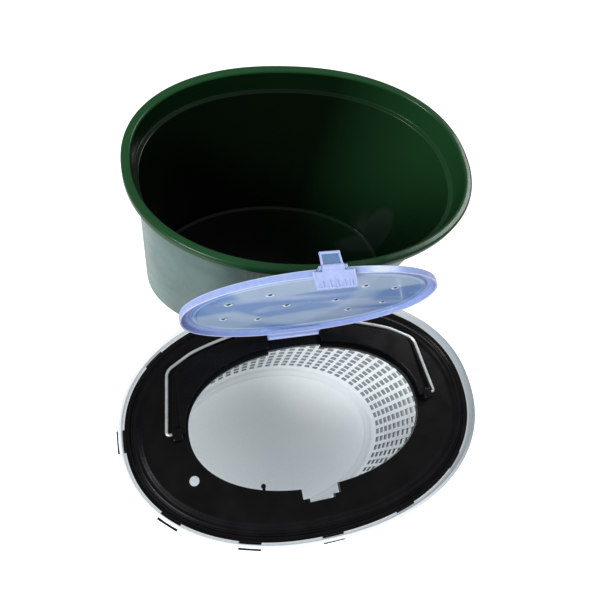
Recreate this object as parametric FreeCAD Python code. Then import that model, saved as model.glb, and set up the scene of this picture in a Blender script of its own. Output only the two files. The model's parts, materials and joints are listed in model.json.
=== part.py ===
import FreeCAD, Part
import math
import os

# Oval live-bait bucket with a lift-out sieve basket, in millimetres, +Z up.
# Origin: centre of the bucket's base. X runs along the long axis of both ovals.
# The basket stands beside the bucket on the same floor, with its lid swung open.

V = FreeCAD.Vector

# ---- driving dimensions ---------------------------------------------------------
OVAL_POWER = 2.18               # superellipse power of the rims
FLOOR_POWER = 2.0               # power at the floors
OVAL_POINTS = 24                # points that carry each oval's curve
RUNNING_GAP = 0.08              # radial clearance of every pin in its bore

BUCKET_HEIGHT = 220.0
BUCKET_RIM_A = 163.0            # half length over the rolled rim
BUCKET_RIM_B = 111.0            # half width over the rolled rim
BUCKET_WALL = 2.2
BUCKET_LEDGE_DEPTH = 23.0       # ledge that carries the basket, below the rim's top
BUCKET_RIM_SKIRT = 8.0          # height of the turned-down rim

BASKET_HEIGHT = 175.3
BASKET_A = 150.6                # half length over the collar
BASKET_B = 100.2
BASKET_WALL = 2.2
BASKET_FLOOR_A = 118.4          # half length at the foot of the wall
BASKET_FLOOR_B = 80.9
WALL_TOP_A = 145.2              # and where it meets the collar
WALL_TOP_B = 95.0
COLLAR_WALL = 2.6
SHELF_Z = BASKET_HEIGHT - 14.3  # shelf that carries the cover
BASKET_OFFSET = (-33.4, -212.6)  # centre of the basket from the centre of the bucket

SLOT_COLUMNS = 68
SLOT_ROWS = 13
SLOT_WIDTH = 5.6
SLOT_HEIGHT = 6.2
SLOT_PITCH = 8.8
SLOT_FIRST_Z = 15.1
SLOT_CUT_DEPTH = 9.0

COVER_INSET = 4.1               # cover's edge, in from the collar's outside
COVER_A = BASKET_A - COVER_INSET
COVER_B = BASKET_B - COVER_INSET
COVER_BOTTOM = BASKET_HEIGHT - 13.9
COVER_TOP = BASKET_HEIGHT - 6.0
DECK_TOP = BASKET_HEIGHT - 8.7
DECK_THICKNESS = 2.0
LIP_DEPTH = 5.0                 # turned-down edge of the opening
LIP_WALL = 1.6
PLATEAU_TOP = DECK_TOP + 6.2
HOSE_HOLE_RADIUS = 3.75
HOSE_HOLE_AT = (-99.2, -38.0)
NUB_AT = (-47.8, -51.6)
NUB_RADIUS = 1.9

OPENING_A = 99.2
OPENING_B = 57.2
OPENING_Y = -3.0                # the opening and the lid sit a little to the front
NOTCH_X = (-18.6, 12.8)         # front notch that takes the lid's catch
NOTCH_Y = -67.4
NOTCH_STEP_X = (-13.4, 7.6)
NOTCH_STEP_Y = -70.2

TOOTH_WIDTH = 17.0              # clip teeth on the cover's edge
TOOTH_BOTTOM = BASKET_HEIGHT - 12.5
TOOTH_HEIGHT = 3.2
TOOTH_REACH = COVER_INSET + 1.6
TOOTH_ROOT = 1.2                # part of a tooth sunk in the cover's edge
TOOTH_ANGLES = (0, 27, 54, 90, 126, 153, 180, 207, 234, 270, 306, 333)
WINDOW_GAP = 0.7                # side gap of a tooth in its window
WINDOW_DEPTH = 10.0

LID_A = 99.8
LID_B = 57.9
LID_SKIRT = 5.6
LID_SHEET = 1.5
LID_BORDER = 6.0                # raised border round the sunken panel
LID_SINK = 1.0
LID_HOLE_RADIUS = 1.5
LID_HOLES_CENTRE_X = -2.4
LID_HOLES = ((19.4, -6.8), (36.0, -29.6), (37.4, 17.5), (64.0, -19.3), (64.9, 9.0))
HINGE_X = (-25.0, 22.4)         # gap between the hinge blocks
HINGE_Y = 66.6                  # lid hinge axis, parallel to X
HINGE_Z = DECK_TOP + 2.5
HINGE_BARREL = 2.3
HINGE_SIDE_GAP = 0.4
HINGE_PIN_RADIUS = 1.2
HINGE_PIN_LENGTH = 4.0
TONGUE_THICKNESS = 2.0
PLATEAU_Y = 72.0                # rear edge of the blocks at the hinge

LATCH_AXIS_Y = -64.2            # catch pivot with the lid shut
LATCH_AXIS_Z = PLATEAU_TOP - 1.4
LATCH_BAR_RADIUS = 1.1
LATCH_BARREL = 2.3
LATCH_X = (-17.1, 12.3)
LATCH_TAB_X = (-10.1, 5.3)
LATCH_TAB = 10.4                # finger tab, above the pivot
LATCH_PLATE = 15.2              # foot of the plate, below the pivot
LATCH_THICKNESS = 1.8
LATCH_LIP = 1.4
LATCH_RIBS = 5

WIRE_RADIUS = 1.3
BAIL_X = 115.9
BAIL_Y = -1.5
BAIL_Z = DECK_TOP + 3.6
BAIL_END_X = 106.0              # inner end of the wire's turned-in pins
BAIL_SIDE = ((110.5, 49.0), (90.0, 61.3))
BAIL_MIDDLE_Y = 78.0
LUG_X = (104.0, 112.0)
LUG_Y = (BAIL_Y - 6.0, BAIL_Y + 4.0)
LUG_TOP = PLATEAU_TOP + 1.6


# ---- helpers ------------------------------------------------------------------
def oval_radius(a, b, power, degrees):
    """Distance from the centre of an oval to its edge in a plain direction."""
    c, s = math.cos(math.radians(degrees)), math.sin(math.radians(degrees))
    return (abs(c / a) ** power + abs(s / b) ** power) ** (-1.0 / power)


def edge_point(a, b, power, degrees, z):
    """Point of an oval in a plain direction, and the angle of its outward normal."""
    r = oval_radius(a, b, power, degrees)
    x, y = r * math.cos(math.radians(degrees)), r * math.sin(math.radians(degrees))
    nx = math.copysign(abs(x / a) ** (power - 1) / a, x)
    ny = math.copysign(abs(y / b) ** (power - 1) / b, y)
    return V(x, y, z), math.degrees(math.atan2(ny, nx))


def oval_edge(a, b, z, power=OVAL_POWER, y=0.0):
    points = []
    for i in range(OVAL_POINTS):
        turn = 2 * math.pi * i / OVAL_POINTS
        c, s = math.cos(turn), math.sin(turn)
        r = (abs(c) ** power + abs(s) ** power) ** (-1.0 / power)
        points.append(V(a * r * c, y + b * r * s, z))
    curve = Part.BSplineCurve()
    curve.interpolate(points, True)
    return curve.toShape()


def turned_solid(rings, closed):
    """Solid whose skin joins one oval ring to the next.

    A ring is (half length, half width, z), then its power and its centre's y if they
    are not the usual ones. An open stack is capped with flat faces at its first and
    last ring; a closed stack runs back to its first ring and makes a hoop.
    """
    edges = [oval_edge(*ring) for ring in rings]
    pairs = list(zip(edges[:-1], edges[1:]))
    if closed:
        pairs.append((edges[-1], edges[0]))
    faces = [Part.makeRuledSurface(low, high) for low, high in pairs]
    if not closed:
        faces.append(Part.Face(Part.Wire([edges[0]])))
        faces.append(Part.Face(Part.Wire([edges[-1]])))
    shell = Part.Shell(faces)
    shell.sewShape()
    solid = Part.Solid(shell)
    if solid.Volume < 0:
        solid.reverse()
    return solid


def box(x, y, z):
    return Part.makeBox(x[1] - x[0], y[1] - y[0], z[1] - z[0], V(x[0], y[0], z[0]))


def x_rod(x, y, z, radius):
    return Part.makeCylinder(radius, x[1] - x[0], V(x[0], y, z), V(1, 0, 0))


def outward_box(point, angle, start, end, width, height):
    """Box on the outward line of a point, from start to end along that line."""
    block = box((start, end), (-width / 2, width / 2), (-height / 2, height / 2))
    block.rotate(V(0, 0, 0), V(0, 0, 1), angle)
    block.translate(point)
    return block


def place_beside_bucket(shape):
    moved = shape.copy()
    moved.translate(V(BASKET_OFFSET[0], BASKET_OFFSET[1], 0))
    return moved


def opened(shape):
    """Lid parts are drawn shut and swung a quarter turn open about the hinge."""
    moved = shape.copy()
    moved.rotate(V(0, HINGE_Y, HINGE_Z), V(1, 0, 0), -90)
    return moved


# ---- bucket -------------------------------------------------------------------
def bucket():
    top = BUCKET_HEIGHT
    skirt = top - BUCKET_RIM_SKIRT
    ledge = top - BUCKET_LEDGE_DEPTH
    a, b = BUCKET_RIM_A, BUCKET_RIM_B
    rings = [
        (146.0, 85.8, 0.0, FLOOR_POWER),
        (149.0, 88.8, 1.2, FLOOR_POWER),
        (150.0, 89.8, 4.0, FLOOR_POWER),
        (151.8, 101.2, ledge - 1.0),
        (a - 6.6, b - 6.0, ledge + 2.0),
        (a - 5.4, b - 5.4, top - 3.0),
        (a - 2.0, b - 2.0, top - 3.0),
        (a - 1.8, b - 1.8, skirt),
        (a, b, skirt),
        (a, b, top - 2.4),
        (a - 0.8, b - 0.8, top - 0.7),
        (a - 2.4, b - 2.4, top),
        (a - 6.1, b - 6.1, top),
        (a - 7.3, b - 7.3, top - 0.6),
        (a - 7.7, b - 7.7, top - 1.8),
        (a - 9.0, b - 8.4, ledge),
        (149.4, 98.8, ledge - 1.2),
        (147.8, 87.6, 4.6, FLOOR_POWER),
        (146.8, 86.6, 3.0, FLOOR_POWER),
        (144.6, 84.4, BUCKET_WALL, FLOOR_POWER),
    ]
    return turned_solid(rings, closed=False)


# ---- sieve basket ---------------------------------------------------------------
def slot_directions():
    """Directions of the slot columns, at even spacing round the foot of the wall."""
    steps = 720
    length = [0.0]
    previous, _ = edge_point(BASKET_FLOOR_A, BASKET_FLOOR_B, FLOOR_POWER, 0, 0)
    for i in range(1, steps + 1):
        point, _ = edge_point(BASKET_FLOOR_A, BASKET_FLOOR_B, FLOOR_POWER, i * 360.0 / steps, 0)
        length.append(length[-1] + point.distanceToPoint(previous))
        previous = point
    directions = []
    for column in range(SLOT_COLUMNS):
        wanted = (column + 0.5) * length[-1] / SLOT_COLUMNS
        index = next(i for i, total in enumerate(length) if total >= wanted)
        directions.append(index * 360.0 / steps)
    return directions


def slots():
    wall_top = SHELF_Z - BASKET_WALL
    cutters = []
    for degrees in slot_directions():
        for row in range(SLOT_ROWS):
            z = SLOT_FIRST_Z + row * SLOT_PITCH + SLOT_HEIGHT / 2
            share = z / wall_top
            a = BASKET_FLOOR_A + share * (WALL_TOP_A - BASKET_FLOOR_A)
            b = BASKET_FLOOR_B + share * (WALL_TOP_B - BASKET_FLOOR_B)
            power = FLOOR_POWER + share * (OVAL_POWER - FLOOR_POWER)
            point, angle = edge_point(a, b, power, degrees, z)
            half = SLOT_CUT_DEPTH / 2
            cutters.append(outward_box(point, angle, -half, half, SLOT_WIDTH, SLOT_HEIGHT))
    return cutters


def sieve_basket():
    top = BASKET_HEIGHT
    a, b = BASKET_A, BASKET_B
    foot_a, foot_b = BASKET_FLOOR_A, BASKET_FLOOR_B
    rings = [
        (foot_a - 3.9, foot_b - 3.9, 0.0, FLOOR_POWER),
        (foot_a - 1.0, foot_b - 1.0, 1.0, FLOOR_POWER),
        (foot_a, foot_b, 3.6, FLOOR_POWER),
        (WALL_TOP_A, WALL_TOP_B, SHELF_Z - BASKET_WALL),
        (a, b, SHELF_Z - BASKET_WALL),
        (a, b, top - 0.8),
        (a - 0.8, b - 0.8, top),
        (a - 1.8, b - 1.8, top),
        (a - COLLAR_WALL, b - COLLAR_WALL, top - 0.8),
        (a - COLLAR_WALL, b - COLLAR_WALL, SHELF_Z),
        (143.2, 93.0, SHELF_Z),
        (142.8, 92.6, SHELF_Z - 1.2),
        (foot_a - 1.6, foot_b - 1.6, 5.2, FLOOR_POWER),
        (foot_a - 3.0, foot_b - 3.0, 3.0, FLOOR_POWER),
        (foot_a - 6.0, foot_b - 6.0, 2.0, FLOOR_POWER),
    ]
    body = turned_solid(rings, closed=False)
    cutters = slots()
    for point, angle in tooth_places():
        width, height = TOOTH_WIDTH + 2 * WINDOW_GAP, TOOTH_HEIGHT + WINDOW_GAP
        cutters.append(outward_box(point, angle, 0.0, WINDOW_DEPTH, width, height))
    return body.cut(Part.makeCompound(cutters))


# ---- cover --------------------------------------------------------------------
def tooth_places():
    middle = TOOTH_BOTTOM + TOOTH_HEIGHT / 2
    return [edge_point(COVER_A, COVER_B, OVAL_POWER, angle, middle) for angle in TOOTH_ANGLES]


def plateau(sign):
    """Raised block beside the lid: its outer edge follows the bail, its inner one the lid."""
    low = DECK_TOP - 1.0
    end = HINGE_X[1] if sign > 0 else -HINGE_X[0]
    outer = [(105.5, -3.0), (105.0, 30.0), (104.0, 46.5), (98.0, 53.5), (86.0, 58.5)]
    outer += [(70.0, 63.5), (55.0, 68.0), (40.0, 71.0), (end, PLATEAU_Y)]
    a, b = LID_A + 1.8, LID_B + 3.4
    inner = []
    steps = 12
    for i in range(steps):
        x = end + (a - end) * math.sin(i / steps * math.pi / 2)
        inner.append((x, OPENING_Y + b * (1 - (x / a) ** OVAL_POWER) ** (1 / OVAL_POWER)))
    inner.append((a, OPENING_Y))
    corners = [V(sign * x, y, low) for x, y in outer + inner]
    wire = Part.makePolygon(corners + corners[:1])
    return Part.Face(wire).extrude(V(0, 0, PLATEAU_TOP - low))


def cover():
    under = DECK_TOP - DECK_THICKNESS
    lip = DECK_TOP - LIP_DEPTH
    a, b, top = COVER_A, COVER_B, COVER_TOP
    rings = [
        (a, b, COVER_BOTTOM),
        (a, b, top - 0.5),
        (a - 0.6, b - 0.6, top),
        (a - 3.6, b - 3.6, top),
        (a - 4.4, b - 4.4, top - 1.3),
        (a - 5.6, b - 5.6, top - 1.3),
        (a - 6.6, b - 6.6, top - 0.3),
        (a - 8.6, b - 8.6, top - 0.5),
        (a - 11.6, b - 11.6, DECK_TOP + 0.7),
        (a - 14.4, b - 14.4, DECK_TOP),
        (OPENING_A, OPENING_B, DECK_TOP, OVAL_POWER, OPENING_Y),
        (OPENING_A, OPENING_B, lip, OVAL_POWER, OPENING_Y),
        (OPENING_A + LIP_WALL, OPENING_B + LIP_WALL, lip, OVAL_POWER, OPENING_Y),
        (OPENING_A + LIP_WALL, OPENING_B + LIP_WALL, under, OVAL_POWER, OPENING_Y),
        (a - 14.0, b - 14.0, under),
        (a - 8.4, b - 8.4, top - 3.4),
        (a - 2.0, b - 2.0, top - 3.4),
        (a - 2.0, b - 2.0, COVER_BOTTOM),
    ]
    body = turned_solid(rings, closed=True)
    additions = [plateau(-1), plateau(1)]
    for sign in (-1, 1):
        span = sorted((sign * LUG_X[0], sign * LUG_X[1]))
        additions.append(box(span, LUG_Y, (DECK_TOP - 1.0, LUG_TOP)))
    for point, angle in tooth_places():
        additions.append(outward_box(point, angle, -TOOTH_ROOT, TOOTH_REACH, TOOTH_WIDTH, TOOTH_HEIGHT))
    nub_x, nub_y = NUB_AT
    additions.append(Part.makeCylinder(NUB_RADIUS, DECK_THICKNESS, V(nub_x, nub_y, under)))
    additions.append(box((nub_x - 1.1, nub_x + 1.1), (nub_y - 4.5, nub_y), (under, DECK_TOP)))
    rear = (LID_B + 2.0, OPENING_Y + LID_B + 2.0)
    gap_lip = box(HINGE_X, (OPENING_Y + OPENING_B - 1.0, rear[1] + LIP_WALL), (lip, DECK_TOP - 0.5))
    gusset_x = (NOTCH_X[0] - LIP_WALL, NOTCH_X[1] + LIP_WALL)
    gusset_y = (NOTCH_STEP_Y - LIP_WALL, OPENING_Y - OPENING_B - 1.2)
    additions += [gap_lip, box(gusset_x, gusset_y, (lip, DECK_TOP))]
    body = body.fuse(additions)

    below, above = lip - 1.0, PLATEAU_TOP + 4.0
    cutters = [box(NOTCH_X, (NOTCH_Y, -40.0), (below, above))]
    cutters.append(box(NOTCH_STEP_X, (NOTCH_STEP_Y, -60.0), (below, above)))
    recess = turned_solid([
        (LID_A + 2.0, rear[0], below, OVAL_POWER, OPENING_Y),
        (LID_A + 2.0, rear[0], above, OVAL_POWER, OPENING_Y),
    ], closed=False)
    cutters.append(recess.common(box(HINGE_X, (30.0, 70.0), (below, above))))
    hole_x, hole_y = HOSE_HOLE_AT
    cutters.append(Part.makeCylinder(HOSE_HOLE_RADIUS, 8.0, V(hole_x, hole_y, under - 3.0)))
    reach = HINGE_PIN_LENGTH + 0.6
    bore = HINGE_PIN_RADIUS + RUNNING_GAP
    cutters.append(x_rod((HINGE_X[0] - reach, HINGE_X[0] + 0.1), HINGE_Y, HINGE_Z, bore))
    cutters.append(x_rod((HINGE_X[1] - 0.1, HINGE_X[1] + reach), HINGE_Y, HINGE_Z, bore))
    for sign in (-1, 1):
        span = sorted((sign * (BAIL_END_X - 0.6), sign * (LUG_X[1] + 0.1)))
        cutters.append(x_rod(span, BAIL_Y, BAIL_Z, WIRE_RADIUS + RUNNING_GAP))
    return body.cut(cutters)


# ---- wire bail -----------------------------------------------------------------
def bail():
    corners = [(BAIL_END_X, BAIL_Y), (BAIL_X, BAIL_Y)] + list(BAIL_SIDE)
    right = [V(x, y, BAIL_Z) for x, y in corners]
    left = [V(-x, y, BAIL_Z) for x, y in corners]
    edges = [Part.makeLine(p, q) for p, q in zip(right[:-1], right[1:])]
    edges.append(Part.Arc(right[-1], V(0, BAIL_MIDDLE_Y, BAIL_Z), left[-1]).toShape())
    edges += [Part.makeLine(p, q) for p, q in zip(left[1:], left[:-1])]
    pieces = []
    for edge in edges:
        start = edge.valueAt(edge.FirstParameter)
        tangent = edge.tangentAt(edge.FirstParameter)
        circle = Part.Wire([Part.Circle(start, tangent, WIRE_RADIUS).toShape()])
        pieces.append(Part.Wire([edge]).makePipeShell([circle], True, False))
    pieces += [Part.makeSphere(WIRE_RADIUS, point) for point in right[1:] + left[1:]]
    return pieces[0].fuse(pieces[1:])


# ---- lid -----------------------------------------------------------------------
def lid_hole_places():
    """Air holes in the lid, five a side, seen with the lid shut."""
    return [(LID_HOLES_CENTRE_X + sign * x, y) for sign in (-1, 1) for x, y in LID_HOLES]


def lid():
    top = PLATEAU_TOP
    low = top - LID_SKIRT
    a, b = LID_A, LID_B
    edge = LID_BORDER + 0.8

    def ring(inset, z):
        return (a - inset, b - inset, z, OVAL_POWER, OPENING_Y)

    border = turned_solid([
        ring(0.0, low),
        ring(0.0, top - 0.8),
        ring(0.8, top),
        ring(LID_BORDER, top),
        ring(edge, top - LID_SINK),
        ring(edge + 0.8, top - LID_SINK - LID_SHEET),
        ring(edge - 0.2, top - LID_SHEET - 0.2),
        ring(1.6, top - LID_SHEET),
        ring(1.4, low),
    ], closed=True)
    panel = turned_solid([
        ring(edge + 0.1, top - LID_SINK - LID_SHEET),
        ring(edge + 0.1, top - LID_SINK),
    ], closed=False)
    tongue_x = (HINGE_X[0] + HINGE_SIDE_GAP, HINGE_X[1] - HINGE_SIDE_GAP)
    tongue_z = (HINGE_Z - 0.4, HINGE_Z - 0.4 + TONGUE_THICKNESS)
    pin_x = (HINGE_X[0] - HINGE_PIN_LENGTH, HINGE_X[1] + HINGE_PIN_LENGTH)
    bar_x = (LATCH_TAB_X[0] - 2.4, LATCH_TAB_X[1] + 2.4)
    additions = [panel]
    additions.append(box(tongue_x, (OPENING_Y + b - 3.0, HINGE_Y), tongue_z))
    additions.append(x_rod(tongue_x, HINGE_Y, HINGE_Z, HINGE_BARREL))
    additions.append(x_rod(pin_x, HINGE_Y, HINGE_Z, HINGE_PIN_RADIUS))
    additions.append(x_rod(bar_x, LATCH_AXIS_Y, LATCH_AXIS_Z, LATCH_BAR_RADIUS))
    for x in (bar_x[0], bar_x[1] - 2.0):
        ear_y = (LATCH_AXIS_Y - 1.4, OPENING_Y - b + 3.0)
        additions.append(box((x, x + 2.0), ear_y, (LATCH_AXIS_Z - 1.5, top)))
    body = border.fuse(additions)
    holes = [Part.makeCylinder(LID_HOLE_RADIUS, 6.0, V(x, y, top - 4.0)) for x, y in lid_hole_places()]
    return opened(body.cut(holes))


# ---- catch ----------------------------------------------------------------------
def lid_latch():
    y, z = LATCH_AXIS_Y, LATCH_AXIS_Z
    skin = (y - LATCH_THICKNESS / 2, y + LATCH_THICKNESS / 2)
    foot = z - LATCH_PLATE
    additions = [box(LATCH_TAB_X, skin, (z - 3.0, z + LATCH_TAB))]
    additions.append(box(LATCH_X, skin, (foot, z - 2.6)))
    additions.append(x_rod(LATCH_TAB_X, y, z + LATCH_TAB, LATCH_LIP))
    for i in range(LATCH_RIBS):
        x = LATCH_X[0] + 3.0 + i * (LATCH_X[1] - LATCH_X[0] - 7.0) / (LATCH_RIBS - 1)
        additions.append(box((x, x + 1.0), (y - 2.2, y), (foot, foot + 5.0)))
    body = x_rod(LATCH_TAB_X, y, z, LATCH_BARREL).fuse(additions)
    bore_x = (LATCH_TAB_X[0] - 1.0, LATCH_TAB_X[1] + 1.0)
    return opened(body.cut(x_rod(bore_x, y, z, LATCH_BAR_RADIUS + RUNNING_GAP)))


os.makedirs("parts", exist_ok=True)
pieces = {
    "bucket": bucket(),
    "sieve_basket": place_beside_bucket(sieve_basket()),
    "cover": place_beside_bucket(cover()),
    "wire_bail": place_beside_bucket(bail()),
    "lid": place_beside_bucket(lid()),
    "lid_latch": place_beside_bucket(lid_latch()),
}
for name, shape in pieces.items():
    solids = shape.Solids
    solid = solids[0] if len(solids) == 1 else Part.makeCompound(solids)
    solid.exportStep("parts/" + name + ".step")
    print(name, len(solids), solid.isValid(), round(solid.Volume / 1000, 1), solid.BoundBox)
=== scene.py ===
import json
import math

import bmesh
import bpy
import numpy as np
from mathutils import Matrix, Vector


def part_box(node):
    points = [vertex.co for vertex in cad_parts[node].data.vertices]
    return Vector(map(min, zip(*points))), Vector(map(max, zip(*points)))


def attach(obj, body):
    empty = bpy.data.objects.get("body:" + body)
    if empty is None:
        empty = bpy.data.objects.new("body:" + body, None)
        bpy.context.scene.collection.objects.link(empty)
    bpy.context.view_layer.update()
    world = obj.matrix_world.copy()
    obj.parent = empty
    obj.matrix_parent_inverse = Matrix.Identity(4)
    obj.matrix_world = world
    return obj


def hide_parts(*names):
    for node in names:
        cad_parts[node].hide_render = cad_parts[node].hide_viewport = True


# The looks of an oval live-bait bucket and its sieve basket. Shapes are worked out in
# millimetres and turned into metres when a mesh is made.

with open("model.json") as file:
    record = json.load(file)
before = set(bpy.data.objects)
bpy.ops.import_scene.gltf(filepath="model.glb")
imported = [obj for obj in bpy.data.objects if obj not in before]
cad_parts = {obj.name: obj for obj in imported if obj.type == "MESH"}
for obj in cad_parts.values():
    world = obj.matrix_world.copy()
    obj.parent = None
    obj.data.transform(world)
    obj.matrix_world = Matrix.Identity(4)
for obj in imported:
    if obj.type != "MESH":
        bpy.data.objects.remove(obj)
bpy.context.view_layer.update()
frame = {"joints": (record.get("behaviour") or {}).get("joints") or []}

MM = 0.001
OVAL_POWER = 2.18               # superellipse power of the rims
FLOOR_POWER = 2.0               # power at the floors


def cad_box(node):
    low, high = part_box(node)
    return low / MM, high / MM


def joint_place(name):
    joint = next(j for j in frame["joints"] if j["name"] == name)
    return Vector(joint["pos_m"]) / MM


# ---- places and sizes from the frame ------------------------------------------------
bucket_low, bucket_high = cad_box("bucket")
basket_low, basket_high = cad_box("sieve_basket")
cover_high = cad_box("cover")[1]
lid_low, lid_high = cad_box("lid")
latch_low, latch_high = cad_box("lid_latch")
wire_low, wire_high = cad_box("wire_bail")

hinge = joint_place("lid_hinge")
bail_pivot = joint_place("bail_hinge")
latch_pivot = joint_place("latch_flex")
BASKET_CENTRE = Vector((hinge.x, bail_pivot.y + 1.5, 0))

BUCKET_A = (bucket_high.x - bucket_low.x) / 2
BUCKET_B = (bucket_high.y - bucket_low.y) / 2
BUCKET_TOP = bucket_high.z
LEDGE_Z = BUCKET_TOP - 23.0     # ledge inside the bucket that the basket can rest on
SKIRT_Z = BUCKET_TOP - 8.0      # lower edge of the turned-down rim
BASKET_A = (basket_high.x - basket_low.x) / 2
BASKET_B = BASKET_CENTRE.y - basket_low.y
BASKET_TOP = basket_high.z
SHELF_Z = BASKET_TOP - 14.3

COVER_A = BASKET_A - 4.1
COVER_B = BASKET_B - 4.1
COVER_BOTTOM = BASKET_TOP - 13.9
COVER_TOP = BASKET_TOP - 6.0
DECK_TOP = BASKET_TOP - 8.7
PLATEAU_TOP = cover_high.z - 1.6
OPENING_A = 99.2
OPENING_B = 57.2
OPENING_Y = -3.0

HINGE_Y, HINGE_Z = hinge.y - BASKET_CENTRE.y, hinge.z
HINGE_GAP = (-25.0, 22.4)
BAIL_Y, BAIL_Z = bail_pivot.y - BASKET_CENTRE.y, bail_pivot.z
WIRE_RADIUS = (wire_high.z - wire_low.z) / 2
BAIL_X = (wire_high.x - wire_low.x) / 2 - WIRE_RADIUS

LID_A = (lid_high.x - lid_low.x) / 2
LID_B = 57.9
LID_TOP = PLATEAU_TOP
LID_SKIRT = 5.6                 # depth of the lid's turned-down edge
LIP_Z = DECK_TOP - 5.0          # lower edge of the lip round the cover's opening
LATCH_Y = HINGE_Y - (latch_pivot.z - HINGE_Z)
LATCH_Z = HINGE_Z + (latch_pivot.y - hinge.y)
LATCH_X = (latch_low.x - BASKET_CENTRE.x, latch_high.x - BASKET_CENTRE.x)
TAB_X = (LATCH_X[0] + 7.0, LATCH_X[1] - 7.0)


# ---- mesh helpers -----------------------------------------------------------------
def ring(a, b, z, power=OVAL_POWER, y=0.0):
    return (a, b, z, power, y)


def corner(a, b, z, radius=0.0, power=OVAL_POWER, y=0.0):
    """A ring of a profile, and the radius that rounds the profile there."""
    return (a, b, z, power, y, radius)


def even_turns(count):
    return [2 * math.pi * i / count for i in range(count)]


def oval_points(oval, turns):
    a, b, z, power, y = oval
    t = np.array(turns)
    c, s = np.cos(t), np.sin(t)
    r = (np.abs(c) ** power + np.abs(s) ** power) ** (-1.0 / power)
    return np.stack([a * r * c, y + b * r * s, np.full(len(t), z)], axis=1)


def oval_share(x, y, a, b, centre_y=0.0):
    """0 at an oval's centre, 1 on its edge."""
    return (abs(x / a) ** OVAL_POWER + abs((y - centre_y) / b) ** OVAL_POWER) ** (1 / OVAL_POWER)


def oval_height(x, a, b):
    """Distance of an oval's edge from its long axis, at x along it."""
    return b * (1 - abs(x / a) ** OVAL_POWER) ** (1 / OVAL_POWER)


def rounded(corners, closed=False, steps=5):
    """Turns the corners of a profile into rings, with every corner rounded."""
    points = [np.array(c[:5], float) for c in corners]
    count = len(points)
    result = []
    for i, (*_, radius) in enumerate(corners):
        here = points[i]
        at_end = not closed and i in (0, count - 1)
        if radius <= 0 or at_end:
            result.append(tuple(here))
            continue
        back, ahead = points[i - 1] - here, points[(i + 1) % count] - here
        back_length = np.linalg.norm(back[[0, 2]])
        ahead_length = np.linalg.norm(ahead[[0, 2]])
        start = here + back * min(radius, 0.49 * back_length) / back_length
        end = here + ahead * min(radius, 0.49 * ahead_length) / ahead_length
        for k in range(steps + 1):
            t = k / steps
            result.append(tuple((1 - t) ** 2 * start + 2 * t * (1 - t) * here + t * t * end))
    return result


def link(name, mesh):
    obj = bpy.data.objects.new(name, mesh)
    bpy.context.scene.collection.objects.link(obj)
    return obj


def new_object(name, vertices, faces, sharp_degrees=38):
    mesh = bpy.data.meshes.new(name)
    mesh.from_pydata([tuple(float(c) * MM for c in v) for v in vertices], [], faces)
    obj = link(name, mesh)
    tidy_mesh(obj, sharp_degrees)
    return obj


def tidy_mesh(obj, sharp_degrees=38):
    """Outward normals, no doubles, smooth faces with sharp edges above an angle."""
    work = bmesh.new()
    work.from_mesh(obj.data)
    bmesh.ops.remove_doubles(work, verts=work.verts, dist=1e-6)
    bmesh.ops.recalc_face_normals(work, faces=work.faces)
    work.to_mesh(obj.data)
    work.free()
    obj.data.shade_smooth()
    obj.data.set_sharp_from_angle(angle=math.radians(sharp_degrees))


def apply_modifier(obj, modifier):
    graph = bpy.context.evaluated_depsgraph_get()
    mesh = bpy.data.meshes.new_from_object(obj.evaluated_get(graph))
    obj.modifiers.remove(modifier)
    obj.data = mesh


def flatten_shading(obj):
    """Lets large flat faces rule the shading where a cut or a bevel meets them."""
    modifier = obj.modifiers.new("normals", "WEIGHTED_NORMAL")
    modifier.keep_sharp = True
    apply_modifier(obj, modifier)


def stack_faces(ring_count, width, closed, skip=None):
    faces = []
    last = ring_count if closed else ring_count - 1
    for i in range(last):
        k = (i + 1) % ring_count
        for j in range(width):
            if skip and skip(i, j):
                continue
            n = (j + 1) % width
            faces.append((i * width + j, i * width + n, k * width + n, k * width + j))
    return faces


def end_faces(ring_count, width):
    last = (ring_count - 1) * width
    return [tuple(range(width)), tuple(range(last, last + width))]


def hoop(name, rings, closed, count=256):
    """Skin over a stack of ovals; an open stack gets flat ends, a closed one is a ring."""
    turns = even_turns(count)
    vertices = np.concatenate([oval_points(oval, turns) for oval in rings])
    faces = stack_faces(len(rings), count, closed)
    if not closed:
        faces += end_faces(len(rings), count)
    return new_object(name, vertices, faces)


def prism(name, outline, low, high, bevel, segments=3):
    """Upright prism over an outline in X and Y, with its edges rounded."""
    work = bmesh.new()
    base = [work.verts.new((x * MM, y * MM, low * MM)) for x, y in outline]
    face = work.faces.new(base)
    lifted = bmesh.ops.extrude_face_region(work, geom=[face])
    tops = [v for v in lifted["geom"] if isinstance(v, bmesh.types.BMVert)]
    bmesh.ops.translate(work, verts=tops, vec=(0, 0, (high - low) * MM))
    bmesh.ops.recalc_face_normals(work, faces=work.faces)
    if bevel > 0:
        edges = [e for e in work.edges if e.calc_face_angle(0) > math.radians(25)]
        bmesh.ops.bevel(work, geom=edges, offset=bevel * MM, segments=segments,
                        affect="EDGES", profile=0.5, clamp_overlap=True)
    mesh = bpy.data.meshes.new(name)
    work.to_mesh(mesh)
    work.free()
    obj = link(name, mesh)
    tidy_mesh(obj)
    return obj


def block(name, x, y, z, bevel, segments=3):
    outline = [(x[0], y[0]), (x[1], y[0]), (x[1], y[1]), (x[0], y[1])]
    return prism(name, outline, z[0], z[1], bevel, segments)


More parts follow.
